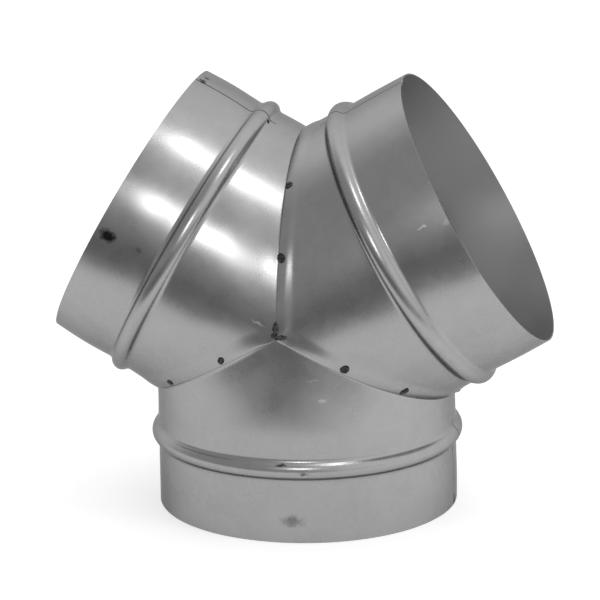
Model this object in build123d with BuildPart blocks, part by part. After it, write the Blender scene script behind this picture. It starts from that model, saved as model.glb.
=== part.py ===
from build123d import *
import os
from math import atan, cos, degrees, radians, sin, sqrt, tan

# Round duct Y-branch in galvanised sheet: three rolled legs joined on mitred laps.
# The origin is the centre of the stem's rim, which it stands on; the leg axes lie in XZ.

# Legs; a leg's throat is its shortest line, from the mitre to the middle of the bead
sheet = 0.6
spigot_radius = 74.5
spigot_drop = 0.5
arm_tilt = 60.0
stem_throat = 21.7
arm_throat = 20.2
spigot_length = 37.0

# Stop bead, rolled outward between the body and the spigot
bead_height = 2.6
bead_flank = 46.0
bead_crest_radius = 3.5
bead_foot_radius = 5.0

# Mitred laps: how far the joggle starts and levels out from the mitre, and where the sheet ends
lap_clearance = 0.05
right_fold = 8.0
right_level = 3.4
right_edge = 0.0
right_throat_rise = 2.0
left_fold = 9.0
left_level = 4.2
left_edge = 1.4
left_throat_rise = 1.8
tuck_margin = 0.6
corner_relief = 1.5

# Joggled lengthwise seam of each rolled leg
seam_width = 8.0
seam_gap = 0.4
seam_turn = 5.6
seam_start = 2.5
seam_land = 1.0

# Tack welds on the laps, as angles round the leg from the throat
weld_radius = 1.8
weld_height = 0.4
weld_slope = 45.0
weld_lift = 0.03
right_weld_setback = 2.2
left_weld_setback = 1.1
corner_weld_length = 3.2
corner_weld_width = 2.5
corner_weld_setback = 1.3
corner_weld_angle = 86.0
right_upper_weld_angles = (40.5, 65.5)
right_lower_weld_angles = (5.0, 43.0, 67.0)
left_lower_weld_angles = (42.5, 71.0)

# Lengths of the legs, from where the axes cross to the rims
upper_half_angle = arm_tilt
lower_half_angle = (180 - arm_tilt) / 2
body_radius = spigot_radius + spigot_drop
stem_reach = body_radius / tan(radians(lower_half_angle)) + stem_throat + spigot_length
arm_reach = body_radius / tan(radians(upper_half_angle)) + arm_throat + spigot_length


class Lap:
    """One mitred joint seen from the leg that laps over its neighbour."""

    def __init__(self, fold, level, edge, layers, throat_rise):
        self.fold = fold
        self.level = level
        self.edge = edge
        self.front_rise = layers * (sheet + lap_clearance)
        self.throat_rise = throat_rise


right_lap = Lap(right_fold, right_level, right_edge, 2, right_throat_rise)
left_lap = Lap(left_fold, left_level, left_edge, 1, left_throat_rise)

# Each leg's frame: z along its axis, y shared, x towards the next leg round
crossing = (0, 0, stem_reach)
stem_frame = Plane(origin=crossing, x_dir=(-1, 0, 0), z_dir=(0, 0, -1))
left_frame = Plane(
    origin=crossing,
    x_dir=(cos(radians(arm_tilt)), 0, sin(radians(arm_tilt))),
    z_dir=(-sin(radians(arm_tilt)), 0, cos(radians(arm_tilt))),
)
right_frame = Plane(
    origin=crossing,
    x_dir=(cos(radians(arm_tilt)), 0, -sin(radians(arm_tilt))),
    z_dir=(sin(radians(arm_tilt)), 0, cos(radians(arm_tilt))),
)


def radial_plane(frame, angle):
    """The half-plane through a leg's axis at an angle from its x direction."""
    outward = frame.x_dir * cos(radians(angle)) + frame.y_dir * sin(radians(angle))
    return Plane(origin=frame.origin, x_dir=outward, z_dir=outward.cross(frame.z_dir))


def mitre_plane(frame, side, half_angle, offset):
    """A plane parallel to the mitre on one side of a leg, moved up the leg by an offset."""
    across = frame.x_dir * side
    normal = frame.z_dir * sin(radians(half_angle)) - across * cos(radians(half_angle))
    along = across * sin(radians(half_angle)) + frame.z_dir * cos(radians(half_angle))
    climb = frame.z_dir * (offset / sin(radians(half_angle)))
    return Plane(origin=frame.origin + climb, x_dir=along, z_dir=normal)


def middle_plane(frame, side, offset=0.0):
    """The plane that parts a leg into halves, facing the neighbour on one side."""
    across = frame.x_dir * side
    return Plane(origin=frame.origin + across * offset, x_dir=frame.z_dir, z_dir=across)


def leg_line(reach, depth):
    """A leg's sheet in section at a depth under its outer surface, from axis crossing to rim."""
    turn = radians(bead_flank)
    bead_centre = reach - spigot_length
    rise = bead_height + bead_crest_radius * (1 / cos(turn) - 1)
    body_foot = rise / tan(turn) - depth * tan(turn / 2)
    spigot_foot = (rise + body_radius - spigot_radius) / tan(turn) - depth * tan(turn / 2)
    return FilletPolyline(
        (body_radius - depth, 0),
        (body_radius - depth, bead_centre - body_foot),
        (body_radius + rise - depth / cos(turn), bead_centre),
        (spigot_radius - depth, bead_centre + spigot_foot),
        (spigot_radius - depth, reach),
        radius=(bead_foot_radius + depth, bead_crest_radius - depth, bead_foot_radius + depth),
    )


def rolled_sheet(frame, reach, start, arc, outer_depth, inner_depth):
    """A layer of a leg's sheet rolled round its axis through an arc."""
    with BuildPart() as layer:
        with BuildSketch(radial_plane(frame, start)):
            with BuildLine():
                outer = leg_line(reach, outer_depth)
                inner = leg_line(reach, inner_depth)
                Line(outer @ 0, inner @ 0)
                Line(outer @ 1, inner @ 1)
            make_face()
        revolve(axis=Axis(frame.origin, frame.z_dir), revolution_arc=arc)
    return layer.part


def half_leg(frame, side, half_angle, reach, cut):
    """Half of a leg's tube, cut parallel to the mitre with the neighbour on that side."""
    with BuildPart() as half:
        add(rolled_sheet(frame, reach, -90 * side, 180, 0, sheet))
        split(bisect_by=mitre_plane(frame, side, half_angle, cut))
    return half.part


def mitre_ring(frame, side, half_angle, sections, relief=0.0):
    """Half a ring of sheet through oval sections: (offset, rise at front, rise at throat)."""
    stretch = 1 / sin(radians(half_angle))
    with BuildPart() as ring:
        for offset, front_rise, throat_rise in sections:
            with BuildSketch(mitre_plane(frame, side, half_angle, offset)):
                Ellipse((body_radius + throat_rise) * stretch, body_radius + front_rise)
        loft(ruled=True)
        for offset, front_rise, throat_rise in sections:
            with BuildSketch(mitre_plane(frame, side, half_angle, offset)):
                Ellipse(
                    (body_radius - sheet + throat_rise) * stretch,
                    body_radius - sheet + front_rise,
                )
        loft(ruled=True, mode=Mode.SUBTRACT)
        split(bisect_by=middle_plane(frame, side, relief))
    return ring.part


def lap_reach(lap, half_angle):
    """How far past the mitre the lap comes down on the neighbour at the throat."""
    return (lap.throat_rise - sheet - lap_clearance) / (2 * cos(radians(half_angle)))


def lap_end(frame, side, half_angle, lap):
    """The trimming plane of a lap: on its edge line at the front, leaning past it at the throat."""
    throat_distance = body_radius / sin(radians(half_angle))
    lean = degrees(atan((lap.edge + lap_reach(lap, half_angle)) / throat_distance))
    return mitre_plane(frame, side, half_angle + lean, lap.edge)


def over_lap(frame, side, half_angle, lap):
    """The joggled end that lies on the neighbour: slope, level band and trimmed edge."""
    beyond = lap_reach(lap, half_angle) + sheet
    rises = (lap.front_rise, lap.throat_rise)
    sections = [(lap.fold, 0, 0), (lap.level, *rises), (-beyond, *rises)]
    with BuildPart() as flap:
        add(mitre_ring(frame, side, half_angle, sections))
        split(bisect_by=lap_end(frame, side, half_angle, lap))
    return flap.part


def tucked_flange(frame, side, half_angle, lap):
    """The neighbour's flange, turned to lie against the underside of a lap."""
    layer = sheet + lap_clearance
    sections = [
        (0, 0, 0),
        (lap.level - tuck_margin, lap.front_rise - layer, lap.throat_rise - layer),
    ]
    return mitre_ring(frame, side, half_angle, sections, corner_relief)


def seam_arc(side, past, width):
    """Start and arc round a leg of a strip on its seam, from past the edge towards the middle."""
    middle = 0 if side > 0 else 180
    first = middle - side * (seam_turn + degrees(past / body_radius))
    arc = degrees(width / body_radius)
    return (first if side > 0 else first - arc), arc


def seam_layer(frame, reach, half_angle, side):
    """The inner layer of a leg's lengthwise seam, along its shortest line."""
    start, arc = seam_arc(side, seam_gap, seam_width)
    with BuildPart() as layer:
        add(rolled_sheet(frame, reach, start, arc, sheet, 2 * sheet))
        split(bisect_by=mitre_plane(frame, side, half_angle, right_fold + seam_start))
    return layer.part


def seam_line(frame, reach, half_angle, side):
    """The open line beside the outer sheet's edge on the lengthwise seam."""
    start, arc = seam_arc(side, 0, seam_gap)
    with BuildPart() as line:
        add(rolled_sheet(frame, reach, start, arc, -sheet, sheet))
        split(bisect_by=mitre_plane(frame, side, half_angle, right_fold + seam_start + seam_land))
    return line.part


def weld_plane(frame, side, half_angle, lap, angle, offset, face):
    """Where a tack sits on a lap: angle from the throat, face -1 at the front, 1 at the back."""
    turn = radians(angle)
    front = body_radius + lap.front_rise
    throat = body_radius + lap.throat_rise
    radius = 1 / sqrt((cos(turn) / throat) ** 2 + (sin(turn) / front) ** 2)
    outward = frame.x_dir * (side * cos(turn)) + frame.y_dir * (face * sin(turn))
    half = radians(half_angle)
    height = (offset + cos(half) * radius * cos(turn)) / sin(half)
    seam = (
        frame.x_dir * (-side * sin(turn))
        + frame.y_dir * (face * cos(turn))
        - frame.z_dir * (sin(turn) / tan(half))
    )
    centre = frame.origin + outward * (radius + weld_lift) + frame.z_dir * height
    return Plane(origin=centre, x_dir=seam, z_dir=outward)


tacks = []
right_inset = right_edge + right_weld_setback
left_inset = left_edge + left_weld_setback
for face in (-1, 1):
    for angle in right_upper_weld_angles:
        tacks.append((right_frame, -1, upper_half_angle, right_lap, angle, right_inset, face))
    for angle in right_lower_weld_angles:
        tacks.append((right_frame, 1, lower_half_angle, right_lap, angle, right_inset, face))
    for angle in left_lower_weld_angles:
        tacks.append((left_frame, -1, lower_half_angle, left_lap, angle, left_inset, face))

corner_tacks = []
corner_inset = right_edge + corner_weld_setback
for face in (-1, 1):
    for side, half_angle in ((-1, upper_half_angle), (1, lower_half_angle)):
        place = (right_frame, side, half_angle, right_lap, corner_weld_angle, corner_inset, face)
        corner_tacks.append(place)

# Stem: both of its edges are tucked under the arms
stem_pieces = [
    half_leg(stem_frame, 1, lower_half_angle, stem_reach, 0),
    half_leg(stem_frame, -1, lower_half_angle, stem_reach, 0),
    tucked_flange(left_frame, -1, lower_half_angle, left_lap),
    tucked_flange(right_frame, 1, lower_half_angle, right_lap),
    seam_layer(stem_frame, stem_reach, lower_half_angle, -1),
]
stem_gap = seam_line(stem_frame, stem_reach, lower_half_angle, -1)
with BuildPart() as stem:
    for piece in stem_pieces:
        add(piece)
    add(stem_gap, mode=Mode.SUBTRACT)
stem.part.label = "stem"

# Left branch: tucked under the right branch, lapped over the stem
left_pieces = [
    half_leg(left_frame, 1, upper_half_angle, arm_reach, 0),
    half_leg(left_frame, -1, lower_half_angle, arm_reach, left_fold),
    tucked_flange(right_frame, -1, upper_half_angle, right_lap),
    over_lap(left_frame, -1, lower_half_angle, left_lap),
    seam_layer(left_frame, arm_reach, upper_half_angle, 1),
]
left_gap = seam_line(left_frame, arm_reach, upper_half_angle, 1)
with BuildPart() as left_branch:
    for piece in left_pieces:
        add(piece)
    add(left_gap, mode=Mode.SUBTRACT)
left_branch.part.label = "left_branch"

# Right branch: lapped over both of its neighbours
right_pieces = [
    half_leg(right_frame, -1, upper_half_angle, arm_reach, right_fold),
    half_leg(right_frame, 1, lower_half_angle, arm_reach, right_fold),
    over_lap(right_frame, -1, upper_half_angle, right_lap),
    over_lap(right_frame, 1, lower_half_angle, right_lap),
    seam_layer(right_frame, arm_reach, upper_half_angle, -1),
]
right_gap = seam_line(right_frame, arm_reach, upper_half_angle, -1)
with BuildPart() as right_branch:
    for piece in right_pieces:
        add(piece)
    add(right_gap, mode=Mode.SUBTRACT)
right_branch.part.label = "right_branch"

# Tack welds: low domes seated on the laps
with BuildPart() as tack_welds:
    for place in tacks:
        with BuildSketch(weld_plane(*place)):
            Circle(weld_radius)
        extrude(amount=weld_height, taper=weld_slope)
    for place in corner_tacks:
        with BuildSketch(weld_plane(*place)):
            SlotCenterToCenter(corner_weld_length, corner_weld_width)
        extrude(amount=weld_height, taper=weld_slope)
tack_welds.part.label = "tack_welds"

os.makedirs("parts", exist_ok=True)
for node in (stem, left_branch, right_branch, tack_welds):
    export_step(node.part, f"parts/{node.part.label}.step")
    print(node.part.label, len(node.part.solids()), round(node.part.volume, 1))
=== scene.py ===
import bpy
import math
import numpy as np
from mathutils import Matrix, Vector


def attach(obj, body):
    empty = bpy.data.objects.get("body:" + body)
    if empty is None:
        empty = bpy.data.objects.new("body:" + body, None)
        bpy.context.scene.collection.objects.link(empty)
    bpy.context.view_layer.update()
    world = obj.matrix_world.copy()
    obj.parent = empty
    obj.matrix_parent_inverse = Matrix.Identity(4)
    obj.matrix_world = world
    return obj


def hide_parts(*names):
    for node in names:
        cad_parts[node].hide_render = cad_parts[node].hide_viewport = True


# A sheet-metal duct Y branch. Each leg is drawn as a flat blank, two skins a sheet apart,
# and a Geometry Nodes tree rolls the blank round the leg's axis.
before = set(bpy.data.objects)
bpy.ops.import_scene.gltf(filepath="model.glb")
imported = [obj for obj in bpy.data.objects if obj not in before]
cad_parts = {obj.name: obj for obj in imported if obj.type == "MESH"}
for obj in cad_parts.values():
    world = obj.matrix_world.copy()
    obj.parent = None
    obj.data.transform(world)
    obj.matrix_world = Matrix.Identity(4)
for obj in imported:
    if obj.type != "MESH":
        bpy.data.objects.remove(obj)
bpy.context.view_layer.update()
mm = 0.001
print("stage: frame loaded")

# Sizes that all three legs share, in mm and degrees
fitting = {
    "sheet": 0.6,
    "lapGap": 0.05,  # air between two lapped sheets
    "radius": 75.0,
    "spigotRadius": 74.5,
    "spigotLength": 37.0,  # bead centre to rim
    "stemThroat": 21.7,  # throat to bead centre
    "armThroat": 20.2,
    "halfAngle": 60.0,  # between a leg's axis and its mitre
    "beadHeight": 3.0,
    "beadFlank": 52.0,
    "beadCrest": 4.6,
    "beadFoot": 3.0,
    "seamWidth": 8.0,
    "seamGap": 0.8,
    "seamDepth": 0.56,
    "seamStart": 11.5,  # from the mitre to where the seam's edge shows
}
sheet, radius = fitting["sheet"], fitting["radius"]
half = math.radians(fitting["halfAngle"])
layer = sheet + fitting["lapGap"]
throatHeight = radius / math.tan(half)
stemReach = throatHeight + fitting["stemThroat"] + fitting["spigotLength"]
armReach = throatHeight + fitting["armThroat"] + fitting["spigotLength"]
crossing = Vector((0, 0, stemReach * mm))

# How the laps come down on the neighbour: a joggle from fold to level, then flat to the edge,
# all in mm from the mitre. It rises by front at the front and back and by throat at the throat
upperLap = {"fold": 7.6, "level": 3.9, "edge": 0.0, "front": 1.0, "throat": 0.7}
lowerLap = {"fold": 8.0, "level": 3.4, "edge": 0.0, "front": 0.55, "throat": 0.9}
leftLap = {"fold": 9.0, "level": 4.2, "edge": 1.4, "front": 0.3, "throat": 0.6}

# The trimmed edge of a lap, as distance back from its end and how far it is rolled down in mm
trimmedEdge = ((1.6, 0), (0.8, 0), (0.5, 0.03), (0.25, 0.11), (0.08, 0.23), (0.0, 0.4))
# The sheet under a lap has a flange with as many rows, as shares of the flange's width
flangeSteps = (0.1, 0.3, 0.55, 0.8, 0.97, 1.0)
flangeMargin = 0.6  # the flange stops this far short of the joggle over it
lapColumns = 12  # rows of a lap before its edge or flange

# A leg's angles start across, where its near neighbour is; its far neighbour is opposite
legs = {
    "stem": {
        "reach": stemReach, "across": (-1, 0, 0), "along": (0, 0, -1),
        "near": leftLap, "far": lowerLap, "nearOver": False, "farOver": False,
        "oval": 0.65, "rimOval": 1.3, "barrel": 0.0, "belly": 1.0, "seamEdge": 185.6, "seamSide": -1,
    },
    "left_branch": {
        "reach": armReach, "across": (0.5, 0, math.sin(half)), "along": (-math.sin(half), 0, 0.5),
        "near": upperLap, "far": leftLap, "nearOver": False, "farOver": True,
        "oval": -0.8, "rimOval": -0.98, "barrel": 0.55, "belly": 0.0, "seamEdge": -9.5, "seamSide": 1,
    },
    "right_branch": {
        "reach": armReach, "across": (0.5, 0, -math.sin(half)), "along": (math.sin(half), 0, 0.5),
        "near": lowerLap, "far": upperLap, "nearOver": True, "farOver": True,
        "oval": -0.22, "rimOval": -0.53, "barrel": 0.3, "belly": 0.0, "seamEdge": 190.5, "seamSide": -1,
    },
}

# Where the legs are out of round, in mm; how much is said with each leg
rolling = {
    "ease": (4, 26),  # from the mitre, where the laps stay true
    "rimPart": 45,  # from the rim, where rimOval takes over from oval
    "beadClear": 6,  # half the bead's own width, which doesn't swell
    "bodyPart": 44,
    "bodyShare": 0.35,  # of the barrel, behind the bead
    "bellyRise": (4, 44),  # from the crossing
    "bellyFall": (46, 60),
    "waveHeight": 0.9,
    "waveLength": 48,
}


def smooth(low, high, value):
    t = np.clip((value - low) / (high - low), 0, 1)
    return t * t * (3 - 2 * t)


def roundedLine(corners, radii, steps):
    line = [corners[0]]
    for before, corner, after, bend in zip(corners, corners[1:], corners[2:], radii):
        back, on = (before - corner).normalized(), (after - corner).normalized()
        wedge = back.angle(on) / 2
        centre = corner + (back + on).normalized() * (bend / math.sin(wedge))
        start = corner + back * (bend / math.tan(wedge)) - centre
        end = corner + on * (bend / math.tan(wedge)) - centre
        line += [centre + start.slerp(end, i / steps) * bend for i in range(steps + 1)]
    return line + [corners[-1]]


def wallLines(reach):
    # the sheet's two faces from the rim over the bead to the body, as distance along and lift
    turn = math.radians(fitting["beadFlank"])
    middle = reach - fitting["spigotLength"]
    rise = fitting["beadHeight"] + fitting["beadCrest"] * (1 / math.cos(turn) - 1)
    drop = radius - fitting["spigotRadius"]
    bodyFoot = middle - rise / math.tan(turn)
    corners = [
        Vector((reach, -drop, 0)),
        Vector((middle + (rise + drop) / math.tan(turn), -drop, 0)),
        Vector((middle, rise, 0)),
        Vector((bodyFoot, 0, 0)),
        Vector((bodyFoot - 4, 0, 0)),
    ]
    bends = (fitting["beadFoot"], fitting["beadCrest"], fitting["beadFoot"])
    line = np.array([point[:2] for point in roundedLine(corners, bends, 11)])
    rim = np.linspace(line[0], line[1], 9)[:-1]
    outer = np.vstack([rim, line[1:]])
    way = np.gradient(outer, axis=0)
    way /= np.linalg.norm(way, axis=1)[:, None]
    inner = outer - sheet * np.stack([way[:, 1], -way[:, 0]], 1)
    return outer, inner


def joggle(offset, lap):
    # share of the lap's rise at a distance from the mitre, with both bends rounded
    x = (lap["fold"] - offset) / (lap["fold"] - lap["level"])
    soft = lambda v: 0.5 * (v + np.sqrt(v * v + 0.03))
    return soft(x) - soft(x - 1)


def lapRows(lap, over, depth, cosine, sine):
    # rows from 2 mm above the fold to the sheet's end, as X across, Y and Z along the leg
    rows = []

    def place(offset, share, lean=0.0, lower=0.0):
        # an ellipse in the mitre's plane or one beside it, which leans where the edge is trimmed
        front = radius - depth + share * lap["front"] - lower
        throat = radius - depth + share * lap["throat"] - lower
        r = 1 / np.sqrt((cosine / throat) ** 2 + (sine / front) ** 2)
        height = (offset + math.cos(half + lean) * r * cosine) / math.sin(half + lean)
        return np.stack([r * cosine, r * sine, height], -1)

    top = lap["fold"] + 2
    if over:
        for offset in np.linspace(top, lap["level"] - 1, lapColumns):
            rows.append(place(offset, joggle(offset, lap)))
        past = (lap["throat"] - layer) / (2 * math.cos(half))
        lean = math.atan((lap["edge"] + past) / (radius / math.sin(half)))
        for step, (back, roll) in enumerate(trimmedEdge):
            lower = roll if depth == 0 else -0.1 * roll
            end = place(lap["edge"], 1.0, lean, lower)
            end[..., 2] += back
            rows.append(end if step else (end + rows[-1]) / 2)
    else:
        for offset in np.linspace(top, 0, lapColumns):
            rows.append(place(offset, 0.0))
        for step in flangeSteps:
            # the flange lies in the neighbour's frame, mirrored across the mitre
            reach = step * (lap["level"] - flangeMargin) * smooth(0.02, 0.12, np.abs(cosine))
            share = step * max(lap["front"] - layer, 0) / lap["front"]
            rise = place(reach, share)
            rise[..., 0] += 2 * reach * math.cos(half)
            rise[..., 2] -= 2 * reach * math.sin(half)
            rows.append(rise)
    return np.array(rows)


def blankColumns(leg):
    # angles a degree apart, closer at the front and back corners and at the seam
    edge, side = leg["seamEdge"], leg["seamSide"]
    start = edge - 180
    gap = math.degrees(fitting["seamGap"] / radius)
    tiny = gap * 0.08
    width = math.degrees(fitting["seamWidth"] / radius)
    angles = [start + i for i in range(361)]
    for corner in (90, -90, 270):
        if start + 4 < corner < start + 356:
            angles = [a for a in angles if abs(a - corner) > 3]
            angles += [corner + i * 0.3 for i in range(-10, 11)]
    seam = {edge: 0, edge + side * tiny: 1, edge + side * (gap - tiny): 1, edge + side * gap: 0}
    lining = [edge - side * (gap + tiny), edge - side * gap]
    lining += [edge + side * (width - gap), edge + side * (width - gap + tiny)]
    angles = [a for a in angles if abs(a - edge - side * gap / 2) > gap]
    angles = [a for a in angles if min(abs(a - s) for s in lining) > 0.1]
    angles = np.array(sorted(angles + list(seam) + lining))
    groove = np.array([seam.get(a, 0) for a in angles])
    lined = ((angles - lining[1]) * side > -tiny / 2) & ((lining[2] - angles) * side > -tiny / 2)
    return np.radians(angles), groove, lined


def swell(leg, rows, fromMitre):
    # rolled by hand, each leg is slightly oval, more so towards its rim
    turn, along, reach = rows[..., 0], rows[..., 1], leg["reach"]
    ease = smooth(*rolling["ease"], fromMitre)
    rimShare = smooth(reach - rolling["rimPart"], reach, along)
    oval = leg["oval"] + (leg["rimOval"] - leg["oval"]) * rimShare
    rows[..., 2] += oval * np.cos(2 * turn) * ease
    # each length between lap, bead and rim swells a little, the stem's only in front and behind
    bead, clear = reach - fitting["spigotLength"], rolling["beadClear"]
    ahead = np.clip((along - bead - clear) / (fitting["spigotLength"] - clear), 0, 1)
    behind = np.clip((bead - clear - along) / rolling["bodyPart"], 0, 1) * ease
    barrel = np.sin(ahead * math.pi) + rolling["bodyShare"] * np.sin(behind * math.pi)
    rows[..., 2] += leg["barrel"] * barrel
    belly = smooth(*rolling["bellyRise"], along) * (1 - smooth(*rolling["bellyFall"], along))
    rows[..., 2] += leg["belly"] * belly * np.sin(turn) ** 2


def skinRows(leg, depth, line, turn, groove, lined):
    # one face of the sheet from its rim to its end, as angle, distance along and lift
    cosine, sine = np.cos(turn), np.sin(turn)
    near = lapRows(leg["near"], leg["nearOver"], depth, cosine, sine)
    far = lapRows(leg["far"], leg["farOver"], depth, -cosine, sine)
    far[..., 0] *= -1
    blend = 0.1 if leg["nearOver"] != leg["farOver"] else 0.05
    share = smooth(-blend, blend, -cosine)[None, :, None]
    lap = near * (1 - share) + far * share
    turned = np.arctan2(lap[..., 1], lap[..., 0]) - turn
    turned = turn + (turned + math.pi) % (2 * math.pi) - math.pi
    end = np.stack([turned, lap[..., 2], np.hypot(lap[..., 0], lap[..., 1]) - radius], -1)
    rows = [np.stack([turn, np.full_like(turn, s), np.full_like(turn, lift)], -1) for s, lift in line]
    rows += [rows[-1] * (1 - t) + end[0] * t for t in np.linspace(0, 1, 10)[1:-1]]
    rows = np.concatenate([rows, end])
    throatSide = np.abs(np.cos(rows[..., 0]))
    fromMitre = rows[..., 1] * math.sin(half) - math.cos(half) * radius * throatSide
    start = fitting["seamStart"]
    cut = groove * (depth == 0) * smooth(start, start + 0.6, fromMitre)
    if depth == 0:
        rows[..., 2] -= fitting["seamDepth"] * cut
    else:
        rows[..., 2] -= sheet * lined * smooth(start - 1, start - 0.4, fromMitre)
    swell(leg, rows, fromMitre)
    return rows, cut


def legBlank(name, leg):
    # the flat blank with both its faces, wound so that they point outwards when it is rolled
    turn, groove, lined = blankColumns(leg)
    outerLine, innerLine = wallLines(leg["reach"])
    outer, outerCut = skinRows(leg, 0.0, outerLine, turn, groove, lined)
    inner, innerCut = skinRows(leg, sheet, innerLine, turn, groove, lined)
    rows = np.concatenate([outer, inner[::-1]])
    flat = rows * np.array([radius, 1, 1]) * mm
    count, wide = flat.shape[:2]
    index = np.arange(count * wide).reshape(count, wide)
    ring = np.roll(index, -1, axis=0)
    faces = np.stack([index[:, :-1], ring[:, :-1], ring[:, 1:], index[:, 1:]], -1)
    mesh = bpy.data.meshes.new(name + "_blank")
    mesh.from_pydata(flat.reshape(-1, 3).tolist(), [], faces.reshape(-1, 4).tolist())
    inside = np.repeat([0.0, 1.0], [len(outer), len(inner)])[:, None] * np.ones(wide)
    cut = np.concatenate([outerCut, innerCut[::-1]])
    for label, values in (("inside", inside), ("groove", cut)):
        mesh.attributes.new(label, "FLOAT", "POINT").data.foreach_set("value", values.ravel())
    blank = bpy.data.objects.new(name + "_sheet", mesh)
    bpy.context.scene.collection.objects.link(blank)
    return blank


def addNode(tree, kind, inputs=None, **settings):
    made = tree.nodes.new(kind)
    for key, value in settings.items():
        setattr(made, key, value)
    for key, value in (inputs or {}).items():
        if isinstance(value, bpy.types.NodeSocket):
            tree.links.new(value, made.inputs[key])
        else:
            made.inputs[key].default_value = value
    return made


def newTree(name, sockets):
    tree = bpy.data.node_groups.new(name, "GeometryNodeTree")
    tree.interface.new_socket("Geometry", in_out="INPUT", socket_type="NodeSocketGeometry")
    tree.interface.new_socket("Geometry", in_out="OUTPUT", socket_type="NodeSocketGeometry")
    for label, kind in sockets:
        tree.interface.new_socket(label, in_out="INPUT", socket_type="NodeSocket" + kind)
    return tree, addNode(tree, "NodeGroupInput").outputs


def finishTree(tree, geometry, material):
    whole = addNode(tree, "GeometryNodeRealizeInstances", {0: geometry}).outputs[0]
    dressed = addNode(tree, "GeometryNodeSetMaterial", {"Geometry": whole, "Material": material})
    addNode(tree, "NodeGroupOutput", {0: dressed.outputs[0]})
    return tree


def applyTree(thing, tree, values):
    modifier = thing.modifiers.new(tree.name, "NODES")
    modifier.node_group = tree
    for item in tree.interface.items_tree:
        if item.in_out == "INPUT" and item.name in values:
            modifier[item.identifier] = values[item.name]
    bpy.context.view_layer.update()
    ready = thing.evaluated_get(bpy.context.evaluated_depsgraph_get())
    mesh = bpy.data.meshes.new_from_object(ready)
    thing.modifiers.remove(modifier)
    thing.data = mesh
    return thing


def rollTree():
    # x of the blank is arc length, y the distance along the axis and z the lift over the body
    tree, given = newTree("rollSheet", [
        ("Radius", "Float"), ("Across", "Vector"), ("Along", "Vector"), ("Crossing", "Vector"),
        ("Wave Height", "Float"), ("Wave Length", "Float"), ("Material", "Material"),
    ])
    place = addNode(tree, "GeometryNodeInputPosition").outputs[0]
    flat = addNode(tree, "ShaderNodeSeparateXYZ", {0: place}).outputs
    angle = addNode(
        tree, "ShaderNodeMath", {0: flat["X"], 1: given["Radius"]}, operation="DIVIDE").outputs[0]
    cosine = addNode(tree, "ShaderNodeMath", {0: angle}, operation="COSINE").outputs[0]
    sine = addNode(tree, "ShaderNodeMath", {0: angle}, operation="SINE").outputs[0]
    outX = addNode(
        tree, "ShaderNodeVectorMath", {0: given["Across"], "Scale": cosine},
        operation="SCALE").outputs[0]
    outY = addNode(tree, "ShaderNodeCombineXYZ", {"Y": sine}).outputs[0]
    out = addNode(tree, "ShaderNodeVectorMath", {0: outX, 1: outY}, operation="ADD").outputs[0]
    reach = addNode(
        tree, "ShaderNodeMath", {0: flat["Z"], 1: given["Radius"]}, operation="ADD").outputs[0]
    onAxis = addNode(
        tree, "ShaderNodeVectorMath", {0: given["Along"], "Scale": flat["Y"]},
        operation="SCALE").outputs[0]
    onAxis = addNode(
        tree, "ShaderNodeVectorMath", {0: onAxis, 1: given["Crossing"]},
        operation="ADD").outputs[0]
    rolled = addNode(
        tree, "ShaderNodeVectorMath", {0: out, "Scale": reach}, operation="SCALE").outputs[0]
    rolled = addNode(
        tree, "ShaderNodeVectorMath", {0: onAxis, 1: rolled}, operation="ADD").outputs[0]
    # sheet rolled by hand is never quite true
    tight = addNode(
        tree, "ShaderNodeMath", {0: 1.0, 1: given["Wave Length"]}, operation="DIVIDE").outputs[0]
    noise = addNode(
        tree, "ShaderNodeTexNoise", {"Vector": rolled, "Scale": tight, "Detail": 1.0},
        noise_dimensions="3D").outputs[0]
    noise = addNode(tree, "ShaderNodeMath", {0: noise, 1: 0.5}, operation="SUBTRACT").outputs[0]
    noise = addNode(
        tree, "ShaderNodeMath", {0: noise, 1: given["Wave Height"]},
        operation="MULTIPLY").outputs[0]
    wave = addNode(
        tree, "ShaderNodeVectorMath", {0: out, "Scale": noise}, operation="SCALE").outputs[0]
    place = addNode(
        tree, "ShaderNodeVectorMath", {0: rolled, 1: wave}, operation="ADD").outputs[0]
    moved = addNode(
        tree, "GeometryNodeSetPosition", {"Geometry": given["Geometry"], "Position": place})
    # the blank's two long edges meet behind the seam
    joined = addNode(
        tree, "GeometryNodeMergeByDistance",
        {"Geometry": moved.outputs[0], "Distance": 0.000004})
    return finishTree(tree, joined.outputs[0], given["Material"])


def linear(hexColour):
    parts = [int(hexColour[i:i + 2], 16) / 255 for i in (1, 3, 5)]
    return tuple(p / 12.92 if p <= 0.04045 else ((p + 0.055) / 1.055) ** 2.4 for p in parts) + (1.0,)


def newMaterial(name):
    made = bpy.data.materials.new(name)
    made.use_nodes = True
    tree = made.node_tree
    return made, tree, tree.nodes["Principled BSDF"]


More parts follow.
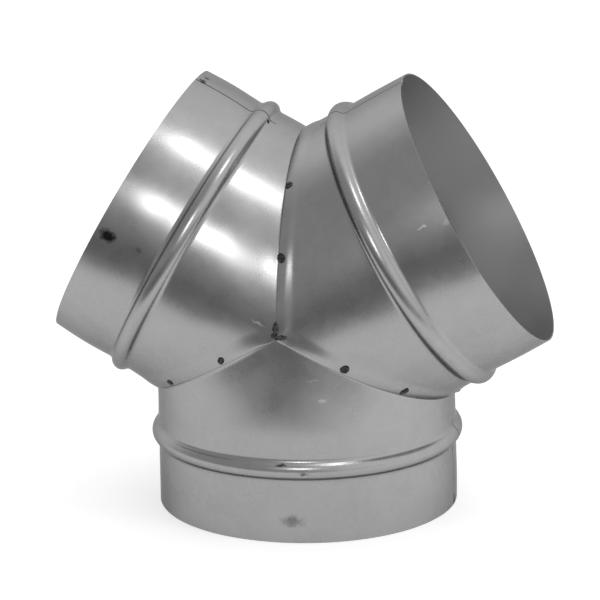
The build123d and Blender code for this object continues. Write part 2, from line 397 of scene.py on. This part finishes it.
# Where handling and heat have marked the sheet: angle round the leg and distance along it,
# half sizes along, round and through in mm, and how dark or light the mark is
sheetMarks = [
    {"leg": "left_branch", "angle": -88.5, "along": 94, "size": (5.4, 4.1, 3), "tone": 0.95, "hue": "#202020"},
    {"leg": "left_branch", "angle": -87, "along": 78, "size": (2, 2, 3), "tone": 0.35, "hue": "#202020"},
    {"leg": "left_branch", "angle": -11.5, "along": 59, "size": (1.2, 1.6, 3), "tone": 0.9, "hue": "#202020"},
    {"leg": "left_branch", "angle": -8, "along": 97, "size": (2.5, 3, 3), "tone": 0.8, "hue": "#202020"},
    {"leg": "left_branch", "angle": -3, "along": 96.6, "size": (1.6, 2.4, 3), "tone": 0.6, "hue": "#202020"},
    {"leg": "stem", "angle": -94.5, "along": 91, "size": (4.5, 9, 3), "tone": 0.55, "hue": "#404040"},
    {"leg": "stem", "angle": -91, "along": 62, "size": (1, 3, 4), "tone": 0.8, "hue": "#202020"},
    {"leg": "stem", "angle": -99, "along": 65.5, "size": (1, 4, 4), "tone": 0.7, "hue": "#202020"},
    {"leg": "stem", "angle": -175.8, "along": 100, "size": (4, 2.5, 3), "tone": 0.8, "hue": "#202020"},
    {"leg": "stem", "angle": -102.5, "along": 19.6, "size": (0.5, 4.5, 3), "tone": 0.45, "hue": "#d8d8d8"},
    {"leg": "stem", "angle": -106, "along": 29.7, "size": (0.8, 2.6, 3), "tone": 0.5, "hue": "#e0e0e0"},
    {"leg": "left_branch", "angle": -88, "along": 12, "size": (4.5, 0.6, 3), "tone": 0.8, "hue": "#f0f0f0"},
    {"leg": "right_branch", "angle": -101, "along": 88, "size": (2.5, 0.6, 3), "tone": 0.8, "hue": "#e8e8e8"},
    {"leg": "right_branch", "angle": -98.6, "along": 99, "size": (1.2, 2, 3), "tone": 0.5, "hue": "#d8d8d8"},
]


def markFrame(mark):
    leg, turn = legs[mark["leg"]], math.radians(mark["angle"])
    across, along = Vector(leg["across"]), Vector(leg["along"])
    out = across * math.cos(turn) + Vector((0, math.sin(turn), 0))
    centre = crossing + (along * mark["along"] + out * radius) * mm
    turned = Matrix((along, out.cross(along), out)).transposed().to_euler()
    return tuple(centre), tuple(turned), tuple(size * mm for size in mark["size"])


# The grain of each pattern and the depth of what is raggedly or bumpily drawn are in mm
zinc = {
    "spangle": 4.0, "cloud": 22.0, "ripple": 6.0, "rippleDepth": 0.06, "rippleStrength": 0.15,
    "markGrain": 2.5, "markRagged": 3.0,
    # seamShade is painted shade, mixed into the seam's groove
    "dark": "#a4a4a4", "light": "#adadad", "innerCoat": "#c4c4c4", "seamShade": "#2c2c2c",
    "glancing": "#b4b4b4", "roughness": (0.25, 0.31), "innerRoughness": 0.14,
}


def galvanisedSheet():
    # skin-passed zinc on sheet steel: mid grey with soft reflections, faintly clouded and speckled
    made, tree, shader = newMaterial("galvanised sheet steel")
    place = addNode(tree, "ShaderNodeTexCoord").outputs["Object"]
    spangle = addNode(
        tree, "ShaderNodeTexVoronoi",
        {"Vector": place, "Scale": 1 / (zinc["spangle"] * mm), "Randomness": 1.0})
    tone = addNode(tree, "ShaderNodeSeparateColor", {0: spangle.outputs["Color"]}).outputs[0]
    cloud = addNode(
        tree, "ShaderNodeTexNoise",
        {"Vector": place, "Scale": 1 / (zinc["cloud"] * mm), "Detail": 3.0}).outputs[0]
    shade = addNode(
        tree, "ShaderNodeMath", {0: tone, 1: 0.2, 2: cloud}, operation="MULTIPLY_ADD").outputs[0]
    ramp = addNode(tree, "ShaderNodeValToRGB", {0: shade})
    for stop, position, hue in zip(ramp.color_ramp.elements, (0.3, 0.9), (zinc["dark"], zinc["light"])):
        stop.position, stop.color = position, linear(hue)
    colour = ramp.outputs[0]
    # a noise frays the marks' outlines
    ragged = addNode(
        tree, "ShaderNodeTexNoise",
        {"Vector": place, "Scale": 1 / (zinc["markGrain"] * mm), "Detail": 1.0}).outputs["Color"]
    ragged = addNode(
        tree, "ShaderNodeVectorMath", {0: ragged, 1: (0.5, 0.5, 0.5)},
        operation="SUBTRACT").outputs[0]
    ragged = addNode(
        tree, "ShaderNodeVectorMath", {0: ragged, 1: (zinc["markRagged"] * mm,) * 3, 2: place},
        operation="MULTIPLY_ADD").outputs[0]
    for mark in sheetMarks:
        centre, turned, size = markFrame(mark)
        away = addNode(
            tree, "ShaderNodeMapping",
            {"Vector": ragged, "Location": centre, "Rotation": turned, "Scale": size},
            vector_type="TEXTURE").outputs[0]
        far = addNode(tree, "ShaderNodeVectorMath", {0: away}, operation="LENGTH").outputs["Value"]
        share = addNode(tree, "ShaderNodeMapRange", {
            "Value": far, "From Min": 0.55, "From Max": 1.0, "To Min": mark["tone"], "To Max": 0.0,
        }).outputs[0]
        colour = addNode(
            tree, "ShaderNodeMix", {0: share, 6: colour, 7: linear(mark["hue"])},
            data_type="RGBA").outputs[2]
    # the inner face kept its lighter, duller coat, and the seam's gap gets painted shade, dark where its
    # recess would be shaded
    inside = addNode(tree, "ShaderNodeAttribute", attribute_name="inside").outputs["Fac"]
    groove = addNode(tree, "ShaderNodeAttribute", attribute_name="groove").outputs["Fac"]
    for share, hue in ((inside, zinc["innerCoat"]), (groove, zinc["seamShade"])):
        colour = addNode(
            tree, "ShaderNodeMix", {0: share, 6: colour, 7: linear(hue)},
            data_type="RGBA").outputs[2]
    tree.links.new(colour, shader.inputs["Base Color"])
    rough = addNode(tree, "ShaderNodeMapRange", {
        "Value": shade, "From Min": 0.3, "From Max": 0.9,
        "To Min": zinc["roughness"][0], "To Max": zinc["roughness"][1],
    }).outputs[0]
    rough = addNode(
        tree, "ShaderNodeMath", {0: inside, 1: zinc["innerRoughness"], 2: rough},
        operation="MULTIPLY_ADD").outputs[0]
    tree.links.new(rough, shader.inputs["Roughness"])
    # rolling marks and handling leave the face a little uneven
    ripple = addNode(
        tree, "ShaderNodeTexNoise",
        {"Vector": place, "Scale": 1 / (zinc["ripple"] * mm), "Detail": 1.0}).outputs[0]
    bump = addNode(tree, "ShaderNodeBump", {
        "Height": ripple, "Strength": zinc["rippleStrength"], "Distance": zinc["rippleDepth"] * mm,
    }).outputs[0]
    tree.links.new(bump, shader.inputs["Normal"])
    shader.inputs["Metallic"].default_value = 1.0
    shader.inputs["Specular Tint"].default_value = linear(zinc["glancing"])
    return made


# Tack welds on the laps: angle from the throat in degrees, distance in from the mitre,
# half length round the leg and half width along it in mm; turn sets a long one askew
tacks = {
    "height": 0.45, "wobble": 1.1, "grain": 1.3,
    "places": [
        {"leg": "right_branch", "side": -1, "angle": 39, "inset": 1.8, "size": (2.0, 2.1)},
        {"leg": "right_branch", "side": -1, "angle": 64.5, "inset": 1.5, "size": (2.5, 2.1)},
        {"leg": "right_branch", "side": -1, "angle": 86, "inset": -0.4, "size": (3.2, 1.5), "turn": -30},
        {"leg": "right_branch", "side": 1, "angle": 91, "inset": 2.4, "size": (3.9, 1.9), "turn": 55},
        {"leg": "right_branch", "side": 1, "angle": 68, "inset": 3.2, "size": (2.1, 2.4)},
        {"leg": "right_branch", "side": 1, "angle": 44, "inset": 2.9, "size": (1.5, 2.5)},
        {"leg": "right_branch", "side": 1, "angle": 5, "inset": 2.2, "size": (1.7, 1.5)},
        {"leg": "left_branch", "side": -1, "angle": 71, "inset": 3.6, "size": (2.1, 1.7)},
        {"leg": "left_branch", "side": -1, "angle": 43, "inset": 3.2, "size": (2.0, 1.7)},
    ],
}


def tackPoints():
    # one point a tack, front and back, with the directions and sizes that the tree reads
    places, outs, ways, sizes = [], [], [], []
    for tack in tacks["places"]:
        leg, side = legs[tack["leg"]], tack["side"]
        lap = leg["near"] if side > 0 else leg["far"]
        turn = math.radians(tack["angle"])
        front, throat = radius + lap["front"], radius + lap["throat"]
        r = 1 / math.sqrt((math.cos(turn) / throat) ** 2 + (math.sin(turn) / front) ** 2)
        across, along = Vector(leg["across"]) * side, Vector(leg["along"])
        height = (tack["inset"] + math.cos(half) * r * math.cos(turn)) / math.sin(half)
        for face in (-1, 1):
            out = across * math.cos(turn) + Vector((0, face * math.sin(turn), 0))
            places.append(crossing + (out * r + along * height) * mm)
            outs.append(out)
            twist = Matrix.Rotation(math.radians(-face * tack.get("turn", 0)), 3, out)
            ways.append(twist @ out.cross(along))
            sizes.append(Vector((*tack["size"], tacks["height"])) * mm)
    mesh = bpy.data.meshes.new("tack_points")
    mesh.from_pydata(places, [], [])
    for label, vectors in (("out", outs), ("way", ways), ("extent", sizes)):
        values = [value for vector in vectors for value in vector]
        mesh.attributes.new(label, "FLOAT_VECTOR", "POINT").data.foreach_set("vector", values)
    points = bpy.data.objects.new("tack_welds_burnt", mesh)
    bpy.context.scene.collection.objects.link(points)
    return points


def tackTree():
    # a squat ragged blob on every point
    tree, given = newTree("tackWelds", [
        ("Wobble", "Float"), ("Grain", "Float"), ("Material", "Material"),
    ])
    read = {}
    for label in ("out", "way", "extent"):
        read[label] = addNode(
            tree, "GeometryNodeInputNamedAttribute", {"Name": label},
            data_type="FLOAT_VECTOR").outputs[0]
    blob = addNode(tree, "GeometryNodeMeshIcoSphere", {"Radius": 1.0, "Subdivisions": 4})
    facing = addNode(
        tree, "FunctionNodeAxesToRotation", {0: read["out"], 1: read["way"]},
        primary_axis="Z", secondary_axis="X").outputs[0]
    placed = addNode(tree, "GeometryNodeInstanceOnPoints", {
        "Points": given["Geometry"], "Instance": blob.outputs[0],
        "Rotation": facing, "Scale": read["extent"],
    }).outputs[0]
    whole = addNode(tree, "GeometryNodeRealizeInstances", {0: placed}).outputs[0]
    tight = addNode(
        tree, "ShaderNodeMath", {0: 1.0, 1: given["Grain"]}, operation="DIVIDE").outputs[0]
    where = addNode(tree, "GeometryNodeInputPosition").outputs[0]
    noise = addNode(
        tree, "ShaderNodeTexNoise",
        {"Vector": where, "Scale": tight, "Detail": 2.0}).outputs["Color"]
    noise = addNode(
        tree, "ShaderNodeVectorMath", {0: noise, 1: (0.5, 0.5, 0.5)},
        operation="SUBTRACT").outputs[0]
    noise = addNode(
        tree, "ShaderNodeVectorMath", {0: noise, "Scale": given["Wobble"]},
        operation="SCALE").outputs[0]
    # most of the wobble's outward part is taken away, so that the blob stays squat
    lift = addNode(
        tree, "ShaderNodeVectorMath", {0: noise, 1: read["out"]},
        operation="DOT_PRODUCT").outputs["Value"]
    lift = addNode(tree, "ShaderNodeMath", {0: lift, 1: -0.75}, operation="MULTIPLY").outputs[0]
    flat = addNode(
        tree, "ShaderNodeVectorMath", {0: read["out"], "Scale": lift},
        operation="SCALE").outputs[0]
    noise = addNode(
        tree, "ShaderNodeVectorMath", {0: noise, 1: flat}, operation="ADD").outputs[0]
    moved = addNode(tree, "GeometryNodeSetPosition", {"Geometry": whole, "Offset": noise})
    return finishTree(tree, moved.outputs[0], given["Material"])


soot = {"crumb": 1.2, "dark": "#262626", "light": "#5c5c5c", "roughness": 0.6, "metallic": 0.5}


def burntWeld():
    # blued and sooted steel: almost black, a little lighter on its crumbs
    made, tree, shader = newMaterial("burnt tack weld")
    place = addNode(tree, "ShaderNodeTexCoord").outputs["Object"]
    crumb = addNode(
        tree, "ShaderNodeTexNoise",
        {"Vector": place, "Scale": 1 / (soot["crumb"] * mm), "Detail": 4.0}).outputs[0]
    ramp = addNode(tree, "ShaderNodeValToRGB", {0: crumb})
    for stop, position, hue in zip(ramp.color_ramp.elements, (0.42, 0.68), (soot["dark"], soot["light"])):
        stop.position, stop.color = position, linear(hue)
    tree.links.new(ramp.outputs[0], shader.inputs["Base Color"])
    shader.inputs["Roughness"].default_value = soot["roughness"]
    shader.inputs["Metallic"].default_value = soot["metallic"]
    return made


# A white table top that ends a little in front of the object, in metres from its middle;
# seen and mirrored are how much it glows to the camera and in reflections
table = {
    "side": 1.8, "back": 2.5, "front": -0.258, "corner": 0.2,
    "colour": "#e6e6e6", "roughness": 0.9, "seen": 0.5, "mirrored": 0.32,
}


def setStage():
    side, front, corner = table["side"], table["front"], table["corner"]
    ring = [(side, table["back"], 0), (-side, table["back"], 0)]
    for a in np.linspace(0, math.pi / 2, 9):
        x, y = corner * (1 - math.cos(a)), corner * (1 - math.sin(a))
        ring.append((-side + x, front + y, 0))
    for a in np.linspace(0, math.pi / 2, 9):
        x, y = corner * (1 - math.sin(a)), corner * (1 - math.cos(a))
        ring.append((side - x, front + y, 0))
    mesh = bpy.data.meshes.new("floor")
    mesh.from_pydata(ring, [], [list(range(len(ring)))])
    floor = bpy.data.objects.new("floor", mesh)
    bpy.context.scene.collection.objects.link(floor)
    made, tree, shader = newMaterial("pale floor")
    shader.inputs["Base Color"].default_value = linear(table["colour"])
    shader.inputs["Roughness"].default_value = table["roughness"]
    path = addNode(tree, "ShaderNodeLightPath").outputs
    glossy = addNode(
        tree, "ShaderNodeMath", {0: path["Is Glossy Ray"], 1: path["Is Transmission Ray"]},
        operation="MAXIMUM").outputs[0]
    glow = addNode(
        tree, "ShaderNodeMath", {0: glossy, 1: table["mirrored"]}, operation="MULTIPLY").outputs[0]
    glow = addNode(
        tree, "ShaderNodeMath", {0: path["Is Camera Ray"], 1: table["seen"], 2: glow},
        operation="MULTIPLY_ADD").outputs[0]
    tree.links.new(glow, shader.inputs["Emission Strength"])
    shader.inputs["Emission Color"].default_value = (1, 1, 1, 1)
    mesh.materials.append(made)


# The room that the sheet reflects: white all round, greyer from the front to the upper left
# between the angles core and clear, and greyer below the horizon
room = {
    "greyWay": (-0.62, -0.74, 0.26), "grey": 0.42, "core": 42, "clear": 82,
    "lowGrey": 0.44, "horizon": (-0.2, 0.1),
}


def setWorld():
    world = bpy.data.worlds.new("studio")
    bpy.context.scene.world = world
    world.use_nodes = True
    tree = world.node_tree
    path = addNode(tree, "ShaderNodeLightPath").outputs
    seen = addNode(
        tree, "ShaderNodeMath", {0: path["Is Camera Ray"], 1: path["Is Transmission Ray"]},
        operation="MAXIMUM").outputs[0]
    way = addNode(tree, "ShaderNodeTexCoord").outputs["Generated"]
    greyWay = tuple(Vector(room["greyWay"]).normalized())
    toGrey = addNode(
        tree, "ShaderNodeVectorMath", {0: way, 1: greyWay}, operation="DOT_PRODUCT").outputs["Value"]
    apart = addNode(tree, "ShaderNodeMath", {0: toGrey}, operation="ARCCOSINE").outputs[0]
    tone = addNode(tree, "ShaderNodeMapRange", {
        "Value": apart, "To Min": room["grey"], "To Max": 1.0,
        "From Min": math.radians(room["core"]), "From Max": math.radians(room["clear"]),
    }, interpolation_type="SMOOTHSTEP").outputs[0]
    height = addNode(tree, "ShaderNodeSeparateXYZ", {0: way}).outputs["Z"]
    low = addNode(tree, "ShaderNodeMapRange", {
        "Value": height, "To Min": room["lowGrey"], "To Max": 1.0,
        "From Min": room["horizon"][0], "From Max": room["horizon"][1],
    }, interpolation_type="SMOOTHSTEP").outputs[0]
    tone = addNode(tree, "ShaderNodeMath", {0: tone, 1: low}, operation="MULTIPLY").outputs[0]
    strength = addNode(tree, "ShaderNodeMix", {0: seen, 2: tone, 3: 1.0}).outputs[0]
    background = tree.nodes["Background"]
    tree.links.new(strength, background.inputs["Strength"])
    background.inputs["Color"].default_value = (1, 1, 1, 1)


# Two soft boxes near the object, in metres and watts
lamps = {
    "front box": {
        "place": (0.04, -0.57, 0.36), "aim": (-0.03, -0.07, 0.15), "size": (0.13, 0.1), "power": 0.36,
    },
    "right box": {
        "place": (0.19, -0.2, 0.66), "aim": (-0.03, -0.05, 0.18), "size": (0.11, 0.11), "power": 0.3,
    },
}


def addLamp(name, place, aim, size, power):
    light = bpy.data.lights.new(name, "AREA")
    light.shape, light.size, light.size_y, light.energy = "RECTANGLE", size[0], size[1], power
    lamp = bpy.data.objects.new(name, light)
    lamp.location = place
    lamp.rotation_mode = "QUATERNION"
    lamp.rotation_quaternion = (Vector(aim) - Vector(place)).to_track_quat("-Z", "Y")
    bpy.context.scene.collection.objects.link(lamp)


# The camera stands off in front, a little right of and above the crossing: degrees and metres,
# with the focal length in pixels of the frame and the sensor in mm
view = {
    "azimuth": 10.712, "elevation": 14.945, "roll": -0.931, "distance": 1.2053,
    "focal": 2404.8, "frame": 600, "sensor": 36, "side": -0.002726, "rise": 0.000048,
}


def setCamera():
    a, e, roll = (math.radians(view[key]) for key in ("azimuth", "elevation", "roll"))
    back = Vector((math.sin(a) * math.cos(e), -math.cos(a) * math.cos(e), math.sin(e)))
    level = Vector((math.cos(a), math.sin(a), 0))
    upright = back.cross(level)
    right = level * math.cos(roll) + upright * math.sin(roll)
    up = upright * math.cos(roll) - level * math.sin(roll)
    data = bpy.data.cameras.new("camera")
    data.sensor_width = view["sensor"]
    data.lens = view["focal"] / view["frame"] * view["sensor"]
    camera = bpy.data.objects.new("camera", data)
    eye = crossing + level * view["side"] + Vector((0, 0, view["rise"])) + back * view["distance"]
    turn = Matrix((right, up, back)).transposed().to_4x4()
    camera.matrix_world = Matrix.Translation(eye) @ turn
    bpy.context.scene.collection.objects.link(camera)
    bpy.context.scene.camera = camera


bpy.context.scene.view_settings.view_transform = "Standard"
setCamera()
setStage()
setWorld()
for name, lamp in lamps.items():
    addLamp(name, **lamp)
print("stage: camera, floor and light")

sheetSteel = galvanisedSheet()
roll = rollTree()
for name, leg in legs.items():
    piece = applyTree(legBlank(name, leg), roll, {
        "Radius": radius * mm, "Across": leg["across"], "Along": leg["along"],
        "Crossing": tuple(crossing), "Material": sheetSteel,
        "Wave Height": rolling["waveHeight"] * mm, "Wave Length": rolling["waveLength"] * mm,
    })
    mesh = piece.data
    mesh.shade_smooth()
    mesh.set_sharp_from_angle(angle=math.radians(50))
    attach(piece, "root")
    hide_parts(name)
    print("stage:", name, len(mesh.polygons), "faces")

welds = applyTree(tackPoints(), tackTree(), {
    "Wobble": tacks["wobble"] * mm, "Grain": tacks["grain"] * mm, "Material": burntWeld(),
})
welds.data.shade_smooth()
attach(welds, "root")
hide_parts("tack_welds")
print("stage: tack welds", len(welds.data.polygons), "faces")
